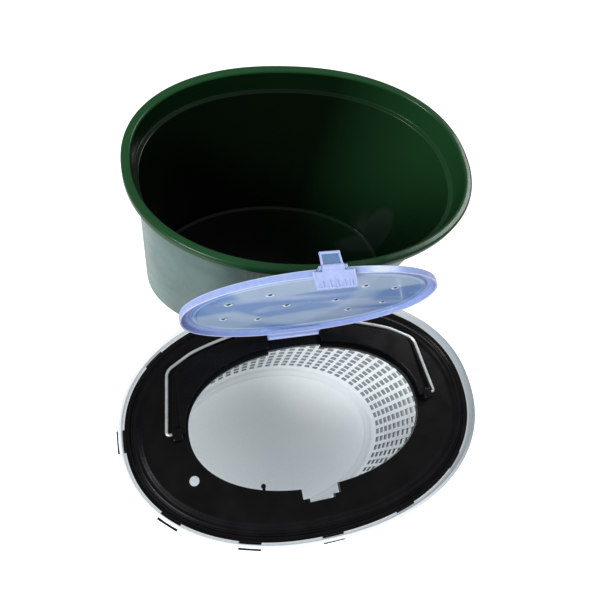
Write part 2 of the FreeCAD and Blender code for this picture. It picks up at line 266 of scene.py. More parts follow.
def rod(name, start, end, radius, count=32, dome=0.0):
    """Round bar between two points, with its end edges rounded by `dome`."""
    start, end = Vector(start), Vector(end)
    along = (end - start).normalized()
    side = along.orthogonal().normalized()
    other = along.cross(side)
    length = (end - start).length
    cuts = [(0.0, radius), (length, radius)]
    if dome > 0:
        rise = [(0.0, radius - dome), (dome * 0.3, radius - dome * 0.3), (dome, radius)]
        cuts = rise + [(length - distance, r) for distance, r in reversed(rise)]
    vertices = []
    for distance, r in cuts:
        for turn in even_turns(count):
            spoke = side * math.cos(turn) + other * math.sin(turn)
            vertices.append(start + along * distance + spoke * r)
    return new_object(name, vertices, stack_faces(len(cuts), count, False) + end_faces(len(cuts), count))


def combine(target, others, operation):
    """Applies a boolean of every other object to the target and removes the others."""
    for other in others:
        modifier = target.modifiers.new("step", "BOOLEAN")
        modifier.operation = operation
        modifier.solver = "EXACT"
        modifier.object = other
        apply_modifier(target, modifier)
        bpy.data.objects.remove(other)
    tidy_mesh(target)
    return target


def move(obj, matrix):
    obj.data.transform(matrix)
    return obj


def beside_bucket(obj):
    return move(obj, Matrix.Translation(BASKET_CENTRE * MM))


def opening_turn():
    pivot = Matrix.Translation(Vector((0, HINGE_Y, HINGE_Z)) * MM)
    return pivot @ Matrix.Rotation(-math.pi / 2, 4, "X") @ pivot.inverted()


# ---- materials -----------------------------------------------------------------------
class Shader:
    """A small builder for a procedural material around one Principled shader."""

    def __init__(self, name, colour, roughness, **inputs):
        self.material = bpy.data.materials.new(name)
        self.material.use_nodes = True
        self.nodes = self.material.node_tree.nodes
        self.links = self.material.node_tree.links
        self.principled = self.nodes["Principled BSDF"]
        self.set("Base Color", (*colour, 1.0))
        self.set("Roughness", roughness)
        for key, value in inputs.items():
            self.set(key.replace("_", " "), value)
        self.coordinates = self.nodes.new("ShaderNodeTexCoord").outputs["Object"]

    def set(self, name, value):
        self.principled.inputs[name].default_value = value

    def mapped(self, scale=(1, 1, 1), turn=(0, 0, 0)):
        node = self.nodes.new("ShaderNodeMapping")
        node.inputs["Scale"].default_value = scale
        node.inputs["Rotation"].default_value = turn
        self.links.new(self.coordinates, node.inputs["Vector"])
        return node.outputs["Vector"]

    def noise(self, scale, detail=3.0, source=None, distortion=0.0):
        node = self.nodes.new("ShaderNodeTexNoise")
        node.inputs["Scale"].default_value = scale
        node.inputs["Detail"].default_value = detail
        node.inputs["Distortion"].default_value = distortion
        self.links.new(source or self.coordinates, node.inputs["Vector"])
        return node.outputs["Fac"]

    def cells(self, scale, softness, source):
        """Flat-toned cells with soft borders, one grey value each."""
        node = self.nodes.new("ShaderNodeTexVoronoi")
        node.feature = "SMOOTH_F1"
        node.inputs["Scale"].default_value = scale
        node.inputs["Smoothness"].default_value = softness
        self.links.new(source, node.inputs["Vector"])
        split = self.nodes.new("ShaderNodeSeparateColor")
        self.links.new(node.outputs["Color"], split.inputs["Color"])
        return split.outputs["Red"]

    def shade(self, distance):
        """1 on open surfaces, falling to 0 deep inside a hollow."""
        node = self.nodes.new("ShaderNodeAmbientOcclusion")
        node.inputs["Distance"].default_value = distance
        node.samples = 8
        return node.outputs["AO"]

    def reach(self, centre, half_sizes, source=None):
        """Distance from a centre, in units of the half sizes: 1 on an ellipsoid around it."""
        value = source or self.coordinates
        for operation, amount in (("SUBTRACT", centre), ("DIVIDE", half_sizes), ("LENGTH", None)):
            node = self.nodes.new("ShaderNodeVectorMath")
            node.operation = operation
            self.links.new(value, node.inputs[0])
            if amount:
                node.inputs[1].default_value = amount
            value = node.outputs["Value" if operation == "LENGTH" else "Vector"]
        return value

    def range(self, source, low, high, from_low=0.3, from_high=0.7):
        node = self.nodes.new("ShaderNodeMapRange")
        node.inputs["From Min"].default_value = from_low
        node.inputs["From Max"].default_value = from_high
        node.inputs["To Min"].default_value = low
        node.inputs["To Max"].default_value = high
        self.links.new(source, node.inputs["Value"])
        return node.outputs["Result"]

    def mix(self, source, first, second):
        node = self.nodes.new("ShaderNodeMix")
        node.data_type = "RGBA"
        for name, value in (("A", first), ("B", second)):
            if isinstance(value, tuple):
                node.inputs[name].default_value = (*value, 1.0)
            else:
                self.links.new(value, node.inputs[name])
        self.links.new(source, node.inputs["Factor"])
        return node.outputs["Result"]

    def product(self, first, second):
        node = self.nodes.new("ShaderNodeMath")
        node.operation = "MULTIPLY"
        self.links.new(first, node.inputs[0])
        self.links.new(second, node.inputs[1])
        return node.outputs[0]

    def drive(self, name, source):
        self.links.new(source, self.principled.inputs[name])

    def bump(self, source, strength, distance, before=None):
        node = self.nodes.new("ShaderNodeBump")
        node.inputs["Strength"].default_value = strength
        node.inputs["Distance"].default_value = distance
        self.links.new(source, node.inputs["Height"])
        if before:
            self.links.new(before, node.inputs["Normal"])
        self.links.new(node.outputs["Normal"], self.principled.inputs["Normal"])
        return node.outputs["Normal"]


def bucket_green():
    """Green rim. Inside, painted shade makes the wall near-black at the left and lighter at the right, with a
    painted reflection streak on the right wall; the outer wall is milky, a painted pale, streaked reflection
    at the left fading to deep green, under a clear coat.
    """
    m = Shader("bucket_green", (0.018, 0.085, 0.028), 0.16, Coat_Roughness=0.08, Coat_IOR=1.45)
    place = m.nodes.new("ShaderNodeSeparateXYZ")
    m.links.new(m.coordinates, place.inputs[0])
    across, height = place.outputs["X"], place.outputs["Z"]
    # Painted shade and light inside: the wall is near-black at the left and lighter at the right, where the
    # light falls; the strip from the ledge up to the rim goes the same way.
    painted_light_to_right = m.range(across, 0.0, 1.0, 0.05, 0.15)
    painted_shade_inside = m.mix(painted_light_to_right, (0.0026, 0.0068, 0.0026), (0.0110, 0.0480, 0.0160))
    # Painted reflection: a pale streak on the right inner wall.
    mirrored = m.range(m.reach((0.140, 0.022, 0.034), (0.060, 0.018, 0.050)), 1.0, 0.0, 0.85, 1.05)
    inside = m.mix(mirrored, painted_shade_inside, (0.030, 0.058, 0.038))
    painted_shade_band = m.mix(painted_light_to_right, (0.0030, 0.0125, 0.0042), (0.0120, 0.0560, 0.0185))
    ledge, skirt, top = LEDGE_Z * MM, SKIRT_Z * MM, BUCKET_TOP * MM
    inner = m.mix(m.range(height, 0.0, 1.0, ledge - 0.002, ledge + 0.001), inside, painted_shade_band)
    # Painted reflection on the outer wall: pale streaked teal at the left, fading to deep green towards the
    # right.
    streaks = m.range(m.noise(16.0, 4.0, m.mapped(scale=(1.0, 1.0, 0.6)), 0.6), 0.0, 1.0, 0.35, 0.65)
    pale = m.mix(streaks, (0.035, 0.105, 0.095), (0.085, 0.200, 0.190))
    outer = m.mix(m.range(across, 0.0, 1.0, -0.15, -0.03), pale, (0.004, 0.020, 0.008))
    outward = m.nodes.new("ShaderNodeVectorMath")
    outward.operation = "DOT_PRODUCT"
    m.links.new(m.mapped(scale=(1, 1, 0)), outward.inputs[0])
    m.links.new(m.nodes.new("ShaderNodeNewGeometry").outputs["Normal"], outward.inputs[1])
    is_outside = m.range(outward.outputs["Value"], 0.0, 1.0, 0.0, 0.02)
    blotch = m.range(m.noise(9.0, 4.0), 0.0, 1.0)
    rim = m.mix(blotch, (0.0095, 0.050, 0.0150), (0.0140, 0.064, 0.0210))
    is_wall = m.range(height, 1.0, 0.0, skirt - 0.003, skirt - 0.001)
    is_rim = m.range(height, 0.0, 1.0, top - 0.003, top - 0.002)
    outside = m.mix(is_wall, rim, outer)
    m.drive("Base Color", m.mix(is_rim, m.mix(is_outside, inner, outside), rim))
    m.drive("Coat Weight", m.range(m.product(is_outside, is_wall), 0.0, 0.22, 0.0, 1.0))
    m.set("Specular IOR Level", 0.25)
    m.drive("Roughness", m.range(m.noise(60.0, 5.0), 0.14, 0.26))
    peel = m.bump(m.noise(260.0, 2.0), 0.05, 0.0005)
    m.bump(m.noise(22.0, 2.0), 0.10, 0.002, before=peel)
    return m.material


def basket_white():
    """Milky white plastic; a painted glow, strongest deep in the hollow, stands in for light carried through
    the thin walls, and the right side of the collar is painted in shade.
    """
    m = Shader("basket_white", (0.78, 0.82, 0.84), 0.38, Subsurface_Weight=0.25, Subsurface_Scale=0.003)
    m.set("Subsurface Radius", (1.0, 0.95, 0.9))
    cloud = m.range(m.noise(10.0, 1.0), 0.0, 1.0)
    white = m.mix(cloud, (0.74, 0.78, 0.80), (0.77, 0.80, 0.82))
    place = m.nodes.new("ShaderNodeSeparateXYZ")
    m.links.new(m.coordinates, place.inputs[0])
    # Painted shade on the right side of the collar.
    shaded_rim = m.mix(m.range(place.outputs["X"], 0.0, 1.0, 0.02, 0.11), white, (0.22, 0.27, 0.30))
    on_collar = m.range(place.outputs["Z"], 0.0, 1.0, SHELF_Z * MM, (SHELF_Z + 4.0) * MM)
    m.drive("Base Color", m.mix(on_collar, white, shaded_rim))
    # Painted light: the basket glows, most deep in its hollow, in place of light coming through its thin
    # walls.
    m.set("Emission Color", (0.93, 0.98, 1.0, 1.0))
    m.drive("Emission Strength", m.range(m.shade(0.12), 0.41, 0.0, 0.15, 0.85))
    m.drive("Roughness", m.range(m.noise(80.0, 4.0), 0.32, 0.44))
    m.bump(m.noise(420.0, 3.0), 0.04, 0.0003)
    return m.material


def slot_painted_shade():
    """Painted shade on the thickness of the basket's wall inside its slots: grey, paler towards the left."""
    m = Shader("slot_painted_shade", (0.22, 0.27, 0.30), 0.6)
    grey = m.mix(m.noise(120.0), (0.20, 0.245, 0.27), (0.27, 0.32, 0.345))
    place = m.nodes.new("ShaderNodeSeparateXYZ")
    m.links.new(m.coordinates, place.inputs[0])
    m.drive("Base Color", m.mix(m.range(place.outputs["X"], 0.0, 1.0, -0.04, 0.03), (0.42, 0.46, 0.48), grey))
    return m.material


def cover_black():
    m = Shader("cover_black", (0.005, 0.005, 0.0055), 0.28, Specular_IOR_Level=0.20)
    dust = m.range(m.noise(35.0, 5.0), 0.0, 1.0)
    m.drive("Base Color", m.mix(dust, (0.0012, 0.0011, 0.0014), (0.0028, 0.0026, 0.0030)))
    m.drive("Roughness", m.range(m.noise(70.0, 4.0), 0.24, 0.34))
    m.bump(m.noise(900.0, 2.0), 0.10, 0.0002)
    return m.material


def wire_zinc():
    m = Shader("wire_zinc", (0.6, 0.63, 0.63), 0.34, Metallic=0.62, Specular_IOR_Level=0.8)
    streak = m.noise(60.0, 3.0, m.mapped(scale=(0.5, 3.0, 3.0)))
    m.drive("Base Color", m.mix(m.range(streak, 0.0, 1.0), (0.52, 0.56, 0.55), (0.66, 0.70, 0.69)))
    m.drive("Roughness", m.range(m.noise(90.0, 2.0), 0.28, 0.38))
    m.bump(m.noise(500.0, 2.0), 0.05, 0.0001)
    return m.material


def lid_panel_clear():
    """Bluish clear sheet: soft-edged flat tones, with pale swirls of moulded flow."""
    m = Shader("lid_panel_clear", (0.30, 0.42, 0.66), 0.14, Alpha=0.90)
    tone = m.cells(15.0, 0.35, m.mapped(scale=(1.0, 1.0, 1.6), turn=(0, 0.6, 0)))
    facets = m.mix(m.range(tone, 0.0, 1.0, 0.35, 0.75), (0.41, 0.53, 0.71), (0.18, 0.31, 0.60))
    swirl = m.noise(11.0, 2.0, m.mapped(scale=(0.8, 1.0, 2.4), turn=(0, -0.35, 0)), distortion=1.2)
    m.drive("Base Color", m.mix(m.range(swirl, 0.0, 0.8, 0.50, 0.66), facets, (0.46, 0.56, 0.79)))
    m.drive("Roughness", m.range(m.noise(50.0, 4.0), 0.08, 0.20))
    m.bump(m.noise(320.0, 2.0), 0.05, 0.0003)
    return m.material


def pale_clear(name, pale, deep, alpha):
    """Clear plastic in a pale and a deeper tone, with fine moulding lines; it serves the thicker, milkier
    edges of the same plastic, and also the painted highlight on the holes' lower edges and the painted shade
    in the lid's groove.
    """
    m = Shader(name, pale, 0.22, Subsurface_Weight=0.3, Subsurface_Scale=0.002, Alpha=alpha)
    lines = m.noise(260.0, 2.0, m.mapped(scale=(1.0, 1.0, 0.25), turn=(0, 0.8, 0)))
    m.drive("Base Color", m.mix(m.range(lines, 0.0, 1.0, 0.30, 0.70), deep, pale))
    m.drive("Roughness", m.range(m.noise(70.0, 3.0), 0.16, 0.30))
    m.bump(lines, 0.10, 0.0003)
    return m.material


def hole_shade():
    m = Shader("hole_shade", (0.01, 0.02, 0.05), 0.4)
    m.drive("Base Color", m.mix(m.noise(300.0), (0.008, 0.014, 0.03), (0.014, 0.024, 0.05)))
    return m.material


FINISH = {
    "bucket_green": [bucket_green()],
    "basket_white": [basket_white(), slot_painted_shade()],
    "cover_black": [cover_black()],
    "wire_zinc": [wire_zinc()],
    "lid_clear": [
        lid_panel_clear(),
        pale_clear("lid_rim_clear", (0.54, 0.61, 0.88), (0.47, 0.55, 0.85), 0.95),
        hole_shade(),
        # Painted highlight on the lower edges of the lid's holes.
        pale_clear("hole_edge_painted_highlight", (0.86, 0.89, 0.98), (0.74, 0.79, 0.95), 1.0),
        # Painted shade in the groove round the lid's panel.
        pale_clear("groove_painted_shade", (0.20, 0.27, 0.48), (0.16, 0.23, 0.44), 1.0),
        pale_clear("lid_border_clear", (0.35, 0.44, 0.74), (0.30, 0.39, 0.71), 0.95),
    ],
    "latch_clear": [
        pale_clear("latch_plate_clear", (0.46, 0.54, 0.83), (0.38, 0.47, 0.79), 0.95),
        pale_clear("latch_tab_clear", (0.14, 0.24, 0.43), (0.11, 0.20, 0.39), 0.9),
    ],
}


def dress(obj, slot_name, body, node):
    obj.data.materials.clear()
    for material in FINISH[slot_name]:
        obj.data.materials.append(material)
    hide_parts(node)
    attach(obj, body)
    return obj


def paint(obj, choose):
    """Gives every face the material number that `choose` returns for its centre."""
    work = bmesh.new()
    work.from_mesh(obj.data)
    many_sided = [face for face in work.faces if len(face.verts) > 4]
    bmesh.ops.triangulate(work, faces=many_sided)
    work.to_mesh(obj.data)
    work.free()
    for face in obj.data.polygons:
        face.material_index = choose(face.center / MM)


# ---- bucket ---------------------------------------------------------------------------
def build_bucket():
    a, b, top = BUCKET_A, BUCKET_B, BUCKET_TOP
    ledge, skirt = LEDGE_Z, SKIRT_Z
    shell = hoop("bucket_shell", rounded([
        corner(138.0, 77.8, 1.6, 0.0, FLOOR_POWER),
        corner(141.0, 80.8, 1.6, 0.6, FLOOR_POWER),
        corner(141.8, 81.6, 0.0, 0.5, FLOOR_POWER),
        corner(146.5, 86.3, 0.0, 2.0, FLOOR_POWER),
        corner(150.0, 89.8, 4.0, 4.0, FLOOR_POWER),
        corner(151.8, 101.2, ledge - 1.0, 2.0),
        corner(a - 6.7, b - 6.1, ledge + 2.0, 2.0),
        corner(a - 5.4, b - 5.4, top - 3.0, 1.0),
        corner(a - 2.0, b - 2.0, top - 3.0, 1.0),
        corner(a - 1.8, b - 1.8, skirt, 0.6),
        corner(a, b, skirt, 0.7),
        corner(a, b, top, 2.6),
        corner(a - 7.6, b - 7.6, top, 2.2),
        corner(a - 9.0, b - 8.4, ledge, 1.0),
        corner(149.5, 99.0, ledge - 1.0, 1.0),
        corner(147.8, 87.6, 3.6, 3.0, FLOOR_POWER),
        corner(144.6, 84.4, 2.8, 1.0, FLOOR_POWER),
        corner(143.4, 83.2, 2.2, 0.4, FLOOR_POWER),
        corner(120.0, 70.0, 2.2, 0.0, FLOOR_POWER),
    ]), closed=False, count=320)
    return dress(shell, "bucket_green", "bucket", "bucket")


# ---- sieve basket ---------------------------------------------------------------------
SLOT_COLUMNS = 68
SLOT_ROWS = 13
SLOT_WIDTH = 5.6
SLOT_HEIGHT = 6.2
SLOT_PITCH = 8.8
SLOT_FIRST_Z = 15.1
FOOT_A = 118.4
FOOT_B = 80.9
TOOTH_WIDTH = 17.0
TOOTH_Z = (BASKET_TOP - 12.5, BASKET_TOP - 9.3)
TOOTH_REACH = 5.7
TOOTH_ANGLES = (0, 27, 54, 90, 126, 153, 180, 207, 234, 270, 306, 333)


def slot_turns():
    """Turns of the mesh lines: three across each slot and two across each rib."""
    fine = even_turns(1440)
    path = oval_points(ring(FOOT_A, FOOT_B, 0.0, FLOOR_POWER), fine)
    steps = np.linalg.norm(np.roll(path, -1, axis=0) - path, axis=1)
    length = np.concatenate([[0.0], np.cumsum(steps)])
    pitch = length[-1] / SLOT_COLUMNS
    half = SLOT_WIDTH / 2
    rib = (pitch - SLOT_WIDTH) / 3
    wanted = []
    for column in range(SLOT_COLUMNS):
        centre = (column + 0.5) * pitch
        wanted += [centre - half, centre, centre + half, centre + half + rib, centre + half + 2 * rib]
    return [float(t) for t in np.interp(wanted, length, list(fine) + [2 * math.pi])]


def tooth_places():
    """Where the teeth leave the cover's edge, as matrices whose X points outward."""
    places = []
    a, b, power = COVER_A, COVER_B, OVAL_POWER
    for angle in TOOTH_ANGLES:
        c, s = math.cos(math.radians(angle)), math.sin(math.radians(angle))
        r = (abs(c / a) ** power + abs(s / b) ** power) ** (-1.0 / power)
        x, y = r * c, r * s
        nx = math.copysign(abs(x / a) ** (power - 1) / a, x)
        ny = math.copysign(abs(y / b) ** (power - 1) / b, y)
        outward = Matrix.Rotation(math.atan2(ny, nx), 4, "Z")
        places.append(Matrix.Translation(Vector((x, y, 0)) * MM) @ outward)
    return places


def wall_ring(low, high, z):
    share = (z - low[2]) / (high[2] - low[2])
    return tuple(p + (q - p) * share for p, q in zip(low, high))


def build_basket():
    a, b, top = BASKET_A, BASKET_B, BASKET_TOP
    turns = slot_turns()
    width = len(turns)
    outer_low = ring(FOOT_A, FOOT_B, 4.5, FLOOR_POWER)
    outer_high = ring(145.2, 95.0, SHELF_Z - 2.2)
    inner_low = ring(FOOT_A - 1.8, FOOT_B - 1.8, 5.6, FLOOR_POWER)
    inner_high = ring(142.9, 92.7, SHELF_Z - 1.0)
    levels = []
    for row in range(SLOT_ROWS):
        low = SLOT_FIRST_Z + row * SLOT_PITCH
        levels += [low, low + SLOT_HEIGHT]

    def foot_corner(inset, z, radius):
        return corner(FOOT_A - inset, FOOT_B - inset, z, radius, FLOOR_POWER)

    foot = rounded([
        foot_corner(10.4, 1.2, 0.0),
        foot_corner(7.8, 1.2, 0.5),
        foot_corner(7.0, 0.0, 0.5),
        foot_corner(2.4, 0.0, 1.6),
        outer_low + (3.0,),
        wall_ring(outer_low, outer_high, levels[0]) + (0,),
    ])[:-1]
    outer = [wall_ring(outer_low, outer_high, z) for z in levels]
    collar = rounded([
        outer[-1] + (0,),
        outer_high + (1.2,),
        corner(a, b, SHELF_Z - 2.2, 0.8),
        corner(a, b, top, 0.8),
        corner(a - 2.6, b - 2.6, top, 0.8),
        corner(a - 2.6, b - 2.6, SHELF_Z, 0.5),
        corner(143.2, 93.0, SHELF_Z, 0.8),
        wall_ring(inner_low, inner_high, levels[-1]) + (0,),
    ])[1:-1]
    inner = [wall_ring(inner_low, inner_high, z) for z in reversed(levels)]
    floor = rounded([
        inner[-1] + (0,),
        inner_low + (3.5,),
        foot_corner(4.0, 3.6, 1.5),
        foot_corner(9.0, 2.9, 0.8),
        foot_corner(10.0, 2.2, 0.6),
        foot_corner(28.0, 2.2, 0.0),
    ])[1:]
    rings = foot + outer + collar + inner + floor
    outer_at = len(foot)
    inner_at = len(foot) + len(outer) + len(collar)
    slot_rows = {start + 2 * row for start in (outer_at, inner_at) for row in range(SLOT_ROWS)}

    def open_here(i, j):
        return j % 5 < 2 and i in slot_rows

    vertices = np.concatenate([oval_points(oval, turns) for oval in rings])
    faces = stack_faces(len(rings), width, False, skip=open_here) + end_faces(len(rings), width)
    for row in range(SLOT_ROWS):
        out_low = (outer_at + 2 * row) * width
        out_high = out_low + width
        in_high = (inner_at + 2 * (SLOT_ROWS - 1 - row)) * width
        in_low = in_high + width
        for column in range(SLOT_COLUMNS):
            j = 5 * column
            for k in (j, j + 1):
                faces.append((out_low + k, out_low + k + 1, in_low + k + 1, in_low + k))
                faces.append((out_high + k, in_high + k, in_high + k + 1, out_high + k + 1))
            for k in (j, j + 2):
                faces.append((out_low + k, out_high + k, in_high + k, in_low + k))
    basket = new_object("sieve_basket_shell", vertices, faces)
    windows = []
    half = TOOTH_WIDTH / 2 + 0.7
    for place in tooth_places():
        window = block("window", (0.2, 10.0), (-half, half), (TOOTH_Z[0] - 0.35, TOOTH_Z[1] + 0.35), 0.3)
        windows.append(move(window, place))
    combine(basket, windows, "DIFFERENCE")
    flatten_shading(basket)

    def basket_material(point):
        """1 on the faces inside the slots, which take the painted slot shade, 0 elsewhere."""
        slots_end = levels[-1] + 0.1
        if not SLOT_FIRST_Z - 0.1 < point.z < slots_end:
            return 0
        depth = []
        for low, high in ((inner_low, inner_high), (outer_low, outer_high)):
            wall_a, wall_b, _, power, _ = wall_ring(low, high, point.z)
            depth.append((abs(point.x / wall_a) ** power + abs(point.y / wall_b) ** power) ** (1 / power))
        return 1 if depth[0] > 1.003 and depth[1] < 0.997 else 0

    dress(basket, "basket_white", "insert", "sieve_basket")
    paint(basket, basket_material)
    return beside_bucket(basket)


# ---- cover ----------------------------------------------------------------------------
NOTCH_X = (-18.6, 12.8)
NOTCH_Y = -67.4
NOTCH_STEP_X = (-13.4, 7.6)
NOTCH_STEP_Y = -70.2
LUG_X = (104.0, 112.0)
PIN_LENGTH = 4.0
HOSE_HOLE = (-99.2, -38.0)
NUB = (-47.8, -51.6)


def plateau(sign):
    """Raised block beside the lid: its outer edge follows the bail, its inner one the lid."""
    end = HINGE_GAP[1] if sign > 0 else -HINGE_GAP[0]
    outer = [(105.5, -3.0), (105.2, 30.0), (104.4, 44.0), (101.5, 50.5), (95.5, 54.8), (86.0, 58.5)]
    outer += [(70.0, 63.5), (55.0, 68.0), (40.0, 71.0), (end, 72.0)]
    a, b = LID_A + 1.8, LID_B + 3.4
    inner = []
    steps = 18
    for i in range(steps):
        x = end + (a - end) * math.sin(i / steps * math.pi / 2)
        inner.append((x, OPENING_Y + oval_height(x, a, b)))
    inner.append((a, OPENING_Y))
    outline = [(sign * x, y) for x, y in outer + inner]
    return prism("plateau", outline, DECK_TOP - 1.0, PLATEAU_TOP, 0.6)


def cover_additions():
    deck, lip = DECK_TOP, LIP_Z
    additions = [plateau(1), plateau(-1)]
    gusset_x = (NOTCH_X[0] - 1.6, NOTCH_X[1] + 1.6)
    gusset_y = (NOTCH_STEP_Y - 1.6, OPENING_Y - OPENING_B - 1.2)
    additions.append(block("gusset", gusset_x, gusset_y, (lip, deck - 0.03), 0.2))
    rear_y = (OPENING_Y + OPENING_B - 1.0, OPENING_Y + LID_B + 3.6)
    additions.append(block("rear_lip", HINGE_GAP, rear_y, (lip, deck - 0.5), 0.2))
    for sign in (-1, 1):
        span = sorted((sign * LUG_X[0], sign * LUG_X[1]))
        lug_y, lug_z = (BAIL_Y - 6.0, BAIL_Y + 4.0), (deck - 1.0, PLATEAU_TOP + 1.6)
        additions.append(block("lug", span, lug_y, lug_z, 1.8, 4))
    for place in tooth_places():
        tooth = block("tooth", (-1.2, TOOTH_REACH), (-TOOTH_WIDTH / 2, TOOTH_WIDTH / 2), TOOTH_Z, 0.4)
        additions.append(move(tooth, place))
    x, y = NUB
    additions.append(rod("nub", (x, y, deck - 2.0), (x, y, deck - 0.05), 1.9, dome=0.3))
    additions.append(block("nub_neck", (x - 1.1, x + 1.1), (y - 4.5, y), (deck - 1.95, deck - 0.1), 0.2))
    return additions


def cover_cutters():
    deck = DECK_TOP
    low, high = deck - 7.0, deck + 7.0
    cutters = [block("notch", NOTCH_X, (NOTCH_Y, -40.0), (low, high), 0.5)]
    cutters.append(block("notch_step", NOTCH_STEP_X, (NOTCH_STEP_Y, -50.0), (low - 1.0, high + 1.0), 0.4))
    outline = [(HINGE_GAP[1], 30.0), (HINGE_GAP[0], 30.0)]
    steps = 12
    for i in range(steps + 1):
        x = HINGE_GAP[0] + (HINGE_GAP[1] - HINGE_GAP[0]) * i / steps
        outline.append((x, OPENING_Y + oval_height(x, LID_A + 2.0, LID_B + 2.0)))
    cutters.append(prism("rear_recess", outline, low, high, 0.0))
    x, y = HOSE_HOLE
    cutters.append(rod("hose_hole", (x, y, low), (x, y, high), 3.75, count=48))
    reach = PIN_LENGTH + 0.6
    for ends in ((HINGE_GAP[0] - reach, HINGE_GAP[0] + 1.0), (HINGE_GAP[1] - 1.0, HINGE_GAP[1] + reach)):
        cutters.append(rod("bore", *[(end, HINGE_Y, HINGE_Z) for end in ends], 1.28))
    for sign in (-1, 1):
        ends = [(sign * end, BAIL_Y, BAIL_Z) for end in (105.4, LUG_X[1] + 1.0)]
        cutters.append(rod("bore", *ends, WIRE_RADIUS + 0.08))
    return cutters


def build_cover():
    a, b = COVER_A, COVER_B
    top, deck = COVER_TOP, DECK_TOP
    lip, under = LIP_Z, deck - 2.0

    def at(inset, z, radius):
        return corner(a - inset, b - inset, z, radius)

    def hole(grow, z, radius):
        return corner(OPENING_A + grow, OPENING_B + grow, z, radius, y=OPENING_Y)

    cover = hoop("cover_ring", rounded([
        at(0.0, COVER_BOTTOM, 0.4),
        at(0.0, top, 0.8),
        at(3.6, top, 0.7),
        at(4.4, top - 1.4, 0.4),
        at(5.6, top - 1.4, 0.4),
        at(6.4, top - 0.3, 0.8),
        at(9.0, top - 0.3, 1.8),
        at(12.4, deck + 0.2, 2.4),
        at(15.4, deck, 1.2),
        hole(0.0, deck, 0.5),
        hole(0.0, lip, 0.4),
        hole(1.6, lip, 0.4),
        hole(1.6, under, 0.5),
        at(14.0, under, 1.0),
        at(8.4, top - 3.4, 1.0),
        at(2.0, top - 3.4, 0.6),
        at(2.0, COVER_BOTTOM, 0.4),
    ], closed=True, steps=4), closed=True)
    combine(cover, cover_additions(), "UNION")
    combine(cover, cover_cutters(), "DIFFERENCE")
    flatten_shading(cover)
    beside_bucket(cover)
    return dress(cover, "cover_black", "insert", "cover")


# ---- wire bail --------------------------------------------------------------------------
BAIL_SIDE = ((110.5, 49.0), (90.0, 61.3))
BAIL_MIDDLE_Y = 78.0


def soft_path(corners, radii, steps=8):
    """Path through corners, each rounded by a smooth bend of the given reach."""
    path = [Vector(corners[0])]
    for i in range(1, len(corners) - 1):
        here = Vector(corners[i])
        back, ahead = Vector(corners[i - 1]) - here, Vector(corners[i + 1]) - here
        reach = min(radii[i], 0.49 * back.length, 0.49 * ahead.length)
        start, end = here + back.normalized() * reach, here + ahead.normalized() * reach
        for k in range(steps + 1):
            t = k / steps
            path.append((1 - t) ** 2 * start + 2 * t * (1 - t) * here + t * t * end)
    path.append(Vector(corners[-1]))
    return path


def build_bail():
    half = [(106.0, BAIL_Y), (BAIL_X, BAIL_Y)] + list(BAIL_SIDE)
    bends = [0, 2.6, 5.0, 14.0]
    end_x, end_y = BAIL_SIDE[-1]
    rise = BAIL_MIDDLE_Y - end_y
    radius = (end_x ** 2 + rise ** 2) / (2 * rise)
    steps = 24
    span = []
    for i in range(1, steps):
        x = end_x * (1 - 2 * i / steps)
        span.append((x, BAIL_MIDDLE_Y - radius + math.sqrt(radius ** 2 - x ** 2)))
    corners = [(x, y, BAIL_Z) for x, y in half + span + [(-x, y) for x, y in reversed(half)]]
    path = soft_path(corners, bends + [4.0] * len(span) + bends[::-1])
    count = 20
    up = Vector((0, 0, 1))
    vertices = []
    for i, point in enumerate(path):
        along = (path[min(i + 1, len(path) - 1)] - path[max(i - 1, 0)]).normalized()
        side = along.cross(up).normalized()
        size = WIRE_RADIUS * (0.72 if i in (0, len(path) - 1) else 1.0)
        for turn in even_turns(count):
            vertices.append(point + (side * math.cos(turn) + up * math.sin(turn)) * size)
    faces = stack_faces(len(path), count, False) + end_faces(len(path), count)
    wire = new_object("bail_wire", vertices, faces)
    beside_bucket(wire)
    return dress(wire, "wire_zinc", "bail", "wire_bail")


# ---- lid ------------------------------------------------------------------------------
HOLES_CENTRE_X = -2.4
HOLE_SIDE = ((19.4, -6.8), (36.0, -29.6), (37.4, 17.5), (64.0, -19.3), (64.9, 9.0))
LID_HOLES = [(HOLES_CENTRE_X + sign * x, y) for sign in (-1, 1) for x, y in HOLE_SIDE]
HOLE_RADIUS = 1.5
BOSS_RADIUS = 3.2
GATE = (-3.6, -7.7)
PANEL, RIM, HOLE, HOLE_HIGHLIGHT, GROOVE_SHADE, BORDER = range(6)


def lid_material(point):
    """Material number of a face of the closed lid."""
    x, y, z = point
    # Hole walls get painted shade; the half of each boss ring toward the hinge, lower when the lid stands
    # open, gets a painted highlight.
    for hole_x, hole_y in LID_HOLES:
        distance = math.hypot(x - hole_x, y - hole_y)
        if distance < HOLE_RADIUS + 0.1:
            return HOLE
        if distance < BOSS_RADIUS + 0.1 and z < LID_TOP - 2.6:
            return HOLE_HIGHLIGHT if y > hole_y else PANEL
    share = oval_share(x, y, LID_A - 7.6, LID_B - 7.6, OPENING_Y)
    if share < 0.985:
        return PANEL
    # The groove round the panel is painted a deeper blue as shade.
    if share < 1.012 and z < LID_TOP - 1.2:
        return GROOVE_SHADE
    at_skirt = oval_share(x, y, LID_A, LID_B, OPENING_Y) > 0.972
    return RIM if at_skirt and not LID_TOP - 4.9 < z < LID_TOP - 1.3 else BORDER


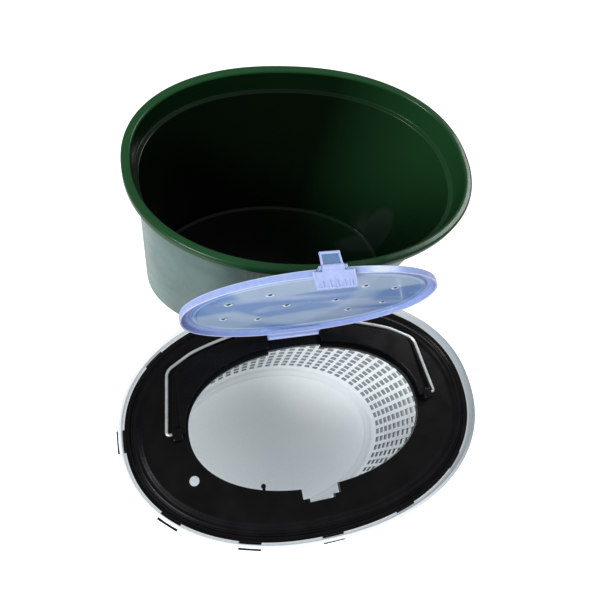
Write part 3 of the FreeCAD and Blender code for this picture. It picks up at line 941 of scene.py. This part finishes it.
def build_lid():
    top = LID_TOP
    low = top - LID_SKIRT
    a, b = LID_A, LID_B

    def at(inset, z, radius):
        return corner(a - inset, b - inset, z, radius, y=OPENING_Y)

    lid = hoop("lid_panel", rounded([
        at(30.0, top - 2.5, 0),
        at(12.2, top - 2.5, 0.3),
        at(11.6, top - 3.1, 0.3),
        at(10.4, top - 3.1, 0.3),
        at(9.6, top - 2.5, 0.3),
        at(8.2, top - 2.5, 0.5),
        at(7.2, top - 1.6, 0.5),
        at(1.4, top - 1.5, 0.6),
        at(1.4, low, 0.4),
        at(0.0, low, 0.4),
        at(0.0, top, 1.0),
        at(6.4, top, 0.8),
        at(7.2, top - 1.0, 0.5),
        at(30.0, top - 1.0, 0),
    ], steps=4), closed=False)
    rear = OPENING_Y + b
    tongue_x = (HINGE_GAP[0] + 0.4, HINGE_GAP[1] - 0.4)
    additions = [block("tongue", tongue_x, (rear - 3.0, HINGE_Y), (HINGE_Z - 0.4, HINGE_Z + 1.5), 0.3)]
    for y in (rear + 1.4, rear + 4.6):
        ends = [(x, y, HINGE_Z - 0.1) for x in (tongue_x[0] + 0.3, tongue_x[1] - 0.3)]
        additions.append(rod("tongue_rib", *ends, 0.9, 16))
    additions.append(rod("barrel", *[(x, HINGE_Y, HINGE_Z) for x in tongue_x], 2.3, dome=0.3))
    pin_x = (HINGE_GAP[0] - PIN_LENGTH, HINGE_GAP[1] + PIN_LENGTH)
    additions.append(rod("pins", *[(x, HINGE_Y, HINGE_Z) for x in pin_x], 1.2, dome=0.25))
    bar_x = (TAB_X[0] - 2.4, TAB_X[1] + 2.4)
    additions.append(rod("bar", *[(x, LATCH_Y, LATCH_Z) for x in bar_x], 1.1, dome=0.2))
    for x in (bar_x[0], bar_x[1] - 2.0):
        ear_y = (LATCH_Y - 1.4, OPENING_Y - b + 3.0)
        additions.append(block("ear", (x, x + 2.0), ear_y, (LATCH_Z - 1.5, top - 0.3), 0.4))
    for x, y in LID_HOLES:
        additions.append(rod("boss", (x, y, top - 2.85), (x, y, top - 1.6), BOSS_RADIUS, 32, dome=0.2))
    x, y = GATE
    additions.append(rod("gate", (x, y, top - 2.85), (x, y, top - 1.6), 2.2, 32, dome=0.3))
    combine(lid, additions, "UNION")
    cutters = [rod("hole", (x, y, top - 6.0), (x, y, top + 2.0), HOLE_RADIUS, 24) for x, y in LID_HOLES]
    combine(lid, cutters, "DIFFERENCE")
    flatten_shading(lid)
    dress(lid, "lid_clear", "lid", "lid")
    paint(lid, lid_material)
    return beside_bucket(move(lid, opening_turn()))


# ---- catch ------------------------------------------------------------------------------
TAB_HEIGHT = 10.4
PLATE_DEPTH = 15.2


def taper(obj, start, end, centre_x, amount):
    """Narrows a piece evenly from one level to another."""
    for vertex in obj.data.vertices:
        share = (vertex.co.z / MM - start) / (end - start)
        if share > 0:
            shift = vertex.co.x / MM - centre_x
            vertex.co.x = (centre_x + shift * (1 - amount * min(share, 1.0))) * MM


def latch_material(point):
    inside_tab = TAB_X[0] + 2.0 < point.x < TAB_X[1] - 2.0
    return 1 if inside_tab and LATCH_Z + 1.8 < point.z < LATCH_Z + TAB_HEIGHT - 1.0 else 0


def build_latch():
    y, z = LATCH_Y, LATCH_Z
    foot, tip = z - PLATE_DEPTH, z + TAB_HEIGHT
    latch = block("latch_plate", LATCH_X, (y - 0.7, y + 0.6), (foot, z - 2.6), 0.4)
    additions = [rod("barrel", (TAB_X[0], y, z), (TAB_X[1], y, z), 2.3, dome=0.3)]
    additions.append(block("neck", TAB_X, (y - 0.7, y + 0.6), (z - 3.4, z), 0.3))
    additions.append(block("tab", TAB_X, (y - 0.5, y + 0.5), (z, tip), 0.2))
    for x in (TAB_X[0], TAB_X[1] - 1.4):
        additions.append(block("tab_edge", (x, x + 1.4), (y - 0.9, y + 0.9), (z + 1.0, tip), 0.3))
    additions.append(rod("lip", (TAB_X[0], y, tip), (TAB_X[1], y, tip), 1.4, dome=0.3))
    for x in (LATCH_X[0], LATCH_X[1] - 1.4):
        additions.append(block("plate_edge", (x, x + 1.4), (y - 1.2, y + 0.9), (foot, z - 2.6), 0.35))
    additions.append(block("foot", LATCH_X, (y - 1.3, y + 0.9), (foot, foot + 1.3), 0.35))
    for i in range(5):
        x = LATCH_X[0] + 3.6 + i * (LATCH_X[1] - LATCH_X[0] - 8.4) / 4
        additions.append(block("rib", (x, x + 1.2), (y - 1.9, y), (foot + 0.3, foot + 5.0), 0.3))
    combine(latch, additions, "UNION")
    bore = rod("bore", (TAB_X[0] - 2, y, z), (TAB_X[1] + 2, y, z), 1.18)
    combine(latch, [bore], "DIFFERENCE")
    centre_x = (LATCH_X[0] + LATCH_X[1]) / 2
    taper(latch, z + 1.0, tip, centre_x, 0.07)
    taper(latch, z - 4.0, foot, centre_x, 0.07)
    flatten_shading(latch)
    dress(latch, "latch_clear", "latch", "lid_latch")
    paint(latch, latch_material)
    return beside_bucket(move(latch, opening_turn()))


# ---- studio -----------------------------------------------------------------------------
def by_ray(nodes, links, kind, value_inside, value_outside):
    """A number that differs for one kind of ray; a value may be another node's output."""
    rays = nodes.new("ShaderNodeLightPath")
    spread = nodes.new("ShaderNodeMapRange")
    for name, value in (("To Min", value_outside), ("To Max", value_inside)):
        if isinstance(value, float):
            spread.inputs[name].default_value = value
        else:
            links.new(value, spread.inputs[name])
    links.new(rays.outputs[kind], spread.inputs["Value"])
    return spread.outputs["Result"]


def studio_white():
    """Pale floor that glows evenly, with a soft shade behind and below the basket."""
    m = Shader("studio_white", (0.55, 0.55, 0.55), 0.9)
    position = m.nodes.new("ShaderNodeNewGeometry").outputs["Position"]
    away = m.reach(BASKET_CENTRE * MM + Vector((0.050, 0.028, 0)), (0.200, 0.128, 1.0), position)
    seen = m.range(away, 0.12, 0.85, 0.55, 1.0)
    mirrored = by_ray(m.nodes, m.links, "Is Glossy Ray", 0.18, 0.30)
    m.drive("Emission Strength", by_ray(m.nodes, m.links, "Is Camera Ray", seen, mirrored))
    m.set("Emission Color", (1, 1, 1, 1))
    m.set("Specular IOR Level", 0.0)
    clear = m.range(away, 0.0, 1.0, 0.55, 1.0)
    m.drive("Base Color", m.mix(clear, (0.20, 0.21, 0.22), (0.55, 0.55, 0.55)))
    return m.material


def build_world():
    world = bpy.data.worlds.new("studio_world")
    bpy.context.scene.world = world
    world.use_nodes = True
    nodes, links = world.node_tree.nodes, world.node_tree.links
    background = nodes["Background"]
    background.inputs["Color"].default_value = (0.95, 0.98, 1.0, 1)
    lighting = by_ray(nodes, links, "Is Glossy Ray", 0.28, 0.42)
    links.new(by_ray(nodes, links, "Is Camera Ray", 1.0, lighting), background.inputs["Strength"])


def build_studio():
    centre = (bucket_low + basket_high) / 2 * MM
    bpy.ops.mesh.primitive_plane_add(size=6.0, location=(centre.x, centre.y, -0.0004))
    floor = bpy.context.object
    floor.name = "studio_floor"
    floor.data.materials.append(studio_white())
    build_world()
    for name, place, size, power in (
        ("key", (-0.9, -0.75, 1.1), 0.55, 22.0),
        ("rim", (0.95, 0.55, 1.0), 0.45, 7.0),
    ):
        light = bpy.data.lights.new(name, "AREA")
        light.size = size
        light.energy = power
        lamp = bpy.data.objects.new(name, light)
        bpy.context.scene.collection.objects.link(lamp)
        lamp.location = Vector(place) + centre
        lamp.rotation_euler = (centre - lamp.location).to_track_quat("-Z", "Y").to_euler()


def build_camera():
    """Camera above the front left, rolled so that the ovals lean down to the right."""
    yaw, elevation, roll = (math.radians(d) for d in (39.34, 63.83, 30.41))
    forward = Vector((math.sin(yaw), math.cos(yaw), 0))
    ahead = forward * math.cos(elevation) - Vector((0, 0, math.sin(elevation)))
    level = Vector((math.cos(yaw), -math.sin(yaw), 0))
    upright = level.cross(ahead)
    right = level * math.cos(roll) + upright * math.sin(roll)
    up = upright * math.cos(roll) - level * math.sin(roll)
    data = bpy.data.cameras.new("camera")
    data.sensor_width = 36.0
    data.lens = 31.42
    camera = bpy.data.objects.new("camera", data)
    bpy.context.scene.collection.objects.link(camera)
    turn = Matrix((right, up, -ahead)).transposed().to_4x4()
    camera.matrix_world = Matrix.Translation(Vector((-0.1536, -0.2754, 0.5929))) @ turn
    data.clip_start = 0.01
    bpy.context.scene.camera = camera


build_bucket()
build_basket()
build_cover()
build_bail()
build_lid()
build_latch()
build_studio()
build_camera()
bpy.context.scene.view_settings.view_transform = "Standard"
